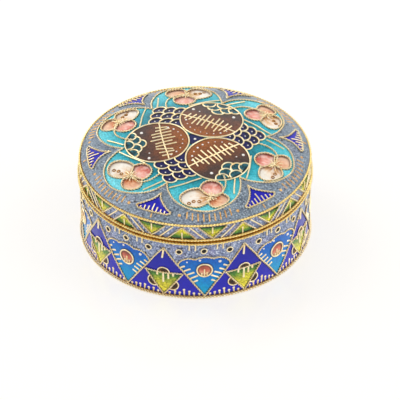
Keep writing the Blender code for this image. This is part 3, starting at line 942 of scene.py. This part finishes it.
def make_lid_enamel():
    wires, rings, dots = Wirework(on_dome), Wirework(on_dome), Wirework(on_dome)
    lay_blossoms(wires, rings)
    lay_fans(wires)
    lay_navy_scales(wires, dots)
    lay_discs(wires, dots)
    dots.build("lid_pearl_dots", PEARL, "enamel", 40)
    wires.build("lid_wires", GILT)
    rings.build("lid_petal_rings", SEAM_GILT)

    ticks = Wirework(on_dome)
    for index in range(6):
        angle = LOBE_TURN + 60 * index
        for tick in range(-4, 5):
            turn = tick * TICK_PITCH
            inner = LOBE_REACH + 0.6 - 0.04 * tick ** 2
            ticks.stroke(polar(inner, angle + turn), polar(inner + TICK, angle + turn), "plain",
                         level=FIELD[0] - 0.06, ball=1.1)
        for turn in (-RIM_BEAD_TURN, RIM_BEAD_TURN):
            ticks.bead(polar(RIM_BEAD_REACH, angle + turn), 0.42, 0.12, FIELD[0])
        ticks.stroke(polar(FAN_EDGE + 0.4, angle + 30), polar(FAN_EDGE + 1.1, angle + 30), "plain",
                     level=FIELD[0] - 0.06)
    ticks.build("lid_rim_ticks", FLAT_GILT)


# The band's and the wall's drawing, in millimetres on the unrolled wall: 0 is the front


def degrees_along(degrees):
    return math.tau * ENAMEL_RADIUS * degrees / 360


# The band's triangles, their turn, half width and the lean of the wires between them, in degrees
BAND_COUNT = 24
BAND_TURN = 8.2
BAND_HALF = 6.9
BAND_LEAN = 3.45

# The wall: nine panels, each of a blue triangle, an azure shield and the frieze over it
PANELS = 9
PANEL_TURN = -16
PITCH = degrees_along(360 / PANELS)
PANEL_TOP = 15.55
PANEL_FOOT = FOOT_TOP + 0.05
LEAF_TOP = 7.7
LEAF_DEPTH = LEAF_TOP - PANEL_FOOT
HALF_DISC = 1.55
SHIELD_CORNER = 10.35
MEDAL_Z = 8.95
MEDAL_SIZE = 2.0
MEDAL_LEVELS = (-0.19, -0.03)
MEDAL_FOOT = MEDAL_Z - 1.9
STROKE_LEVEL = -0.31
# Strokes, by how far aside and how long they are
LEAF_STROKES = ((-1.6, 0.9), (-0.1, 2.9), (1.2, 1.7), (2.4, 0.8))
MEDAL_STROKES = ((-0.7, 0.9), (0.0, 2.0), (0.7, 1.1))
# Lengths of the strokes along a triangle's foot, and heights and lengths of those at a shield's sides
FOOT_STROKES = (0.6, 1.1, 0.8, 1.7, 1.2, 0.8, 0.5)
SIDE_STROKES = ((9.5, 1.0), (8.4, 1.5), (7.3, 1.8), (6.2, 1.9), (5.1, 1.3))
# A shield's pearl dots, by how far aside, height and size, and the discs and strokes over it
SHIELD_PEARLS = ((-4.4, 11.3, 0.24), (-1.05, 12.1, 0.33), (4.0, 11.3, 0.42))
FRIEZE_DISCS = ((-6.2, 14.6), (0.0, 15.1), (6.4, 14.6))
FRIEZE_STROKES = (-3.7, -2.2, 3.3, 4.7)


def make_band():
    wires = Wirework(on_wall)
    leaves = Enamelwork("band_leaf_triangles", LEAF, on_wall)
    low, high = BAND_BOTTOM + 0.12, BAND_TOP - 0.1
    half = degrees_along(BAND_HALF)
    for index in range(BAND_COUNT):
        middle = degrees_along(BAND_TURN + 360 / BAND_COUNT * index)
        down = index % 2 == 0
        base, tip = (high, low) if down else (low, high)
        outline = [(middle - half, base), (middle, tip), (middle + half, base)]
        leaves.lay(outline, CELL, lambda spot: abs(spot.y - base) / (high - low), slope=0.2)
        wires.line("twisted", outline)
        wires.stroke((middle, base), (middle, base + (tip - base) * 0.5), "plain")
        gap = middle + degrees_along(180 / BAND_COUNT)
        lean = degrees_along(BAND_LEAN) * (1 if down else -1)
        wires.line("plain", [(gap - lean, low), (gap, (low + high) / 2), (gap + lean, high)], level=-0.06)
    leaves.build()
    wires.build("band_wires", GILT)


def half_width(z):
    """Half the width of a blue triangle at a height."""
    return PITCH / 2 * (PANEL_TOP - z) / (PANEL_TOP - PANEL_FOOT)


def lay_triangle(middle, royal, leaves, bark, wires, rng):
    """A blue triangle, with a green one hanging in it that has half discs on its sides."""
    apex = (middle, PANEL_TOP)
    triangle = [(middle - PITCH / 2, PANEL_FOOT), (middle + PITCH / 2, PANEL_FOOT), apex]
    royal.lay(triangle, CELL, lambda spot: 0.8 - spot.y / 18)
    for corner in triangle[1::-1]:
        wires.line("twisted", [corner, apex])
    wires.stroke((middle, PANEL_TOP - 0.6), (middle - 0.2, PANEL_TOP - 3.1), "bold", ball=1.1)
    wide = half_width(LEAF_TOP) * 0.9
    leaf = [(middle - wide, LEAF_TOP), (middle, PANEL_FOOT), (middle + wide, LEAF_TOP)]
    leaves.lay(leaf, INLAY, lambda spot: (LEAF_TOP - spot.y) / LEAF_DEPTH)
    wires.line("twisted", leaf, closed=True)
    for shift, reach in LEAF_STROKES:
        wires.stroke((middle + shift, LEAF_TOP), (middle + shift, LEAF_TOP - reach), "bold",
                     level=-0.14, ball=1.1)
    slant = math.degrees(math.atan2(LEAF_DEPTH, wide))
    for x, y, turn in ((middle, LEAF_TOP, 0.0),
                       (middle + wide * 0.46, PANEL_FOOT + LEAF_DEPTH * 0.46, slant - 180),
                       (middle - wide * 0.54, PANEL_FOOT + LEAF_DEPTH * 0.54, 180 - slant)):
        arc = [Vector((x, y)) + turned(polar(HALF_DISC, step * 15), turn) for step in range(13)]
        core = Vector((x, y)) + turned(Vector((0, HALF_DISC * 0.45)), turn)
        bark.lay(arc, INLAY, lambda spot: 0.2 + 0.34 * (spot - core).length,
                 wall=0.12, slope=0.12, step=TINY_CUT)
        wires.line("fine", arc)
    for hand in (-1, 1):
        for step, reach in enumerate(FOOT_STROKES):
            x = middle + hand * (1.5 + 1.24 * step)
            reach *= rng.uniform(0.8, 1.15)
            wires.stroke((x, PANEL_FOOT), (x + rng.uniform(-0.1, 0.1), PANEL_FOOT + reach), "bold",
                         level=STROKE_LEVEL, ball=1.4)


def lay_shield(centre, azure, medals, wires, dots, rng):
    """An azure shield with a scalloped top, a round medallion and slanting strokes at its sides."""
    wide = PITCH / 2 - half_width(SHIELD_CORNER)
    half_top = [Vector((0, 13.25)), Vector((1.1, 13.1))]
    half_top += geometry.interpolate_bezier((2.4, 12.5), (3.6, 13.1), (6.0, 12.5), (wide, SHIELD_CORNER), 12)
    top = [(centre - spot[0], spot[1]) for spot in half_top[::-1]]
    top += [(centre + spot[0], spot[1]) for spot in half_top[1:]]
    medal = circle(Vector((centre, MEDAL_Z)), MEDAL_SIZE, 24)
    azure.lay([(centre, PANEL_FOOT)] + top, CELL, lambda spot: (spot.y - 1) / 12, holes=[medal])
    wires.line("twisted", top)
    # The medallion's enamel darkens from pale pink at the bottom to red-brown at the top as painted shade
    # under its ring
    medals.lay(medal, MEDAL_LEVELS, lambda spot: (spot.y - MEDAL_Z + MEDAL_SIZE) / (2 * MEDAL_SIZE),
               slope=0.5, step=0.6)
    wires.line("plain", medal, closed=True)
    for shift, reach in MEDAL_STROKES:
        wires.stroke((centre + shift, MEDAL_FOOT), (centre + shift, MEDAL_FOOT + reach), level=-0.1)
    for shift, height, size in SHIELD_PEARLS:
        dots.bead((centre + shift, height), size, size * 0.6, CELL[0])
    for hand in (-1, 1):
        for z, reach in SIDE_STROKES:
            edge = centre + hand * (PITCH / 2 - half_width(z))
            reach *= rng.uniform(0.8, 1.15)
            wires.stroke((edge, z), (edge - hand * reach * 0.88, z + reach * 0.42), "bold",
                         level=STROKE_LEVEL, ball=1.15)


def lay_frieze(centre, bark, wires):
    """Small discs and hanging strokes over a shield."""
    for shift, height in FRIEZE_DISCS:
        spot = Vector((centre + shift, height))
        bark.lay(circle(spot, 0.72, 12), CELL, lambda at: 0.5 - (at - spot).length,
                 wall=0.1, slope=0.12, step=TINY_CUT)
        wires.line("fine", circle(spot, 0.8, 12), closed=True, level=-0.02, step=0.25)
    for shift in FRIEZE_STROKES:
        wires.stroke((centre + shift, MOUTH_BOTTOM + 0.1), (centre + shift, MOUTH_BOTTOM - 1.8), "plain")


def make_wall():
    wires, dots = Wirework(on_wall), Wirework(on_wall)
    royal, azure, leaves, bark, medals = enamels = [
        Enamelwork("wall_" + name, material, on_wall)
        for name, material in (("royal_triangles", ROYAL), ("azure_shields", AZURE),
                               ("leaf_triangles", LEAF), ("bark_half_discs", BARK), ("medallions", MEDAL))]
    rng = random.Random(3)
    for index in range(PANELS):
        middle = degrees_along(PANEL_TURN + 360 / PANELS * index)
        lay_triangle(middle, royal, leaves, bark, wires, rng)
        lay_shield(middle + PITCH / 2, azure, medals, wires, dots, rng)
        lay_frieze(middle + PITCH / 2, bark, wires)
    for enamel in enamels:
        enamel.build()
    dots.build("wall_pearl_dots", PEARL, "enamel", 40)
    wires.build("wall_wires", GILT)


# The studio

FLOOR_RADIUS = 3.0
FLOOR_DROP = 0.00002
# Each softbox: its name, place, size and power
SOFTBOXES = (
    ("left_softbox", (-0.42, 0.22, 0.5), 0.5, 1.7),
    ("right_softbox", (0.5, 0.0, 0.45), 0.5, 1.3),
)
LIT_POINT = Vector((0, 0, 0.015))
CAMERA_TILT = 38.6
CAMERA_ROLL = -0.35
CAMERA_DISTANCE = 0.66
CAMERA_AIM = Vector((0.00114, 0.00392, 0.00510))
CAMERA_LENS = 229.6


def make_studio():
    """A white sweep around the table, a dim ceiling, a lit glossy table top and two softboxes."""
    scene = bpy.context.scene
    scene.view_settings.view_transform = "Standard"
    world = bpy.data.worlds.new("white_sweep")
    scene.world = world
    world.use_nodes = True
    tree = world.node_tree
    background = tree.nodes["Background"].inputs
    background["Color"].default_value = (1, 1, 1, 1)
    way = add_node(tree, "TexCoord").outputs["Generated"]
    height = add_node(tree, "SeparateXYZ", {"Vector": way}).outputs["Z"]
    sweep = add_node(tree, "MapRange", {"Value": height, "From Min": 0.38, "From Max": 0.62,
                                        "To Min": 1.15, "To Max": 0.62},
                     interpolation_type="SMOOTHSTEP")
    tree.links.new(sweep.outputs[0], background["Strength"])

    bm = bmesh.new()
    bmesh.ops.create_circle(bm, cap_ends=True, segments=96, radius=FLOOR_RADIUS)
    floor_mesh = mesh_from(bm, "pale_floor")
    floor = add_object("pale_floor", floor_mesh)
    floor.location = (0, 0, -FLOOR_DROP)
    # Polished white acrylic that glows evenly and shows a soft reflection of the box
    acrylic = new_material("lit_white_acrylic", {"Base Color": linear("#969491"), "Roughness": 0.16,
                                                 "Emission Color": (1.0, 0.985, 0.96, 1),
                                                 "Emission Strength": 0.69})[0]
    floor_mesh.materials.append(acrylic)

    for name, place, size, power in SOFTBOXES:
        light = bpy.data.lights.new(name, "AREA")
        light.shape = "DISK"
        light.size = size
        light.energy = power
        lamp = add_object(name, light)
        lamp.location = place
        lamp.rotation_euler = (Vector(place) - LIT_POINT).to_track_quat("Z", "Y").to_euler()


def make_camera():
    """The photo's camera, with a long lens and rolled a little."""
    tilt = math.radians(CAMERA_TILT)
    place = Vector((0, -math.cos(tilt), math.sin(tilt))) * CAMERA_DISTANCE
    data = bpy.data.cameras.new("photo_camera")
    data.sensor_width = 36
    data.lens = CAMERA_LENS
    camera = add_object("photo_camera", data)
    camera.location = place
    facing = (place - CAMERA_AIM).to_track_quat("Z", "Y").to_matrix()
    camera.rotation_euler = (facing @ Matrix.Rotation(math.radians(CAMERA_ROLL), 3, "Z")).to_euler()
    bpy.context.scene.camera = camera


make_camera()
make_body_shell()
make_lid_shell()
make_ropes()
make_lid_enamel()
make_band()
make_wall()
make_studio()
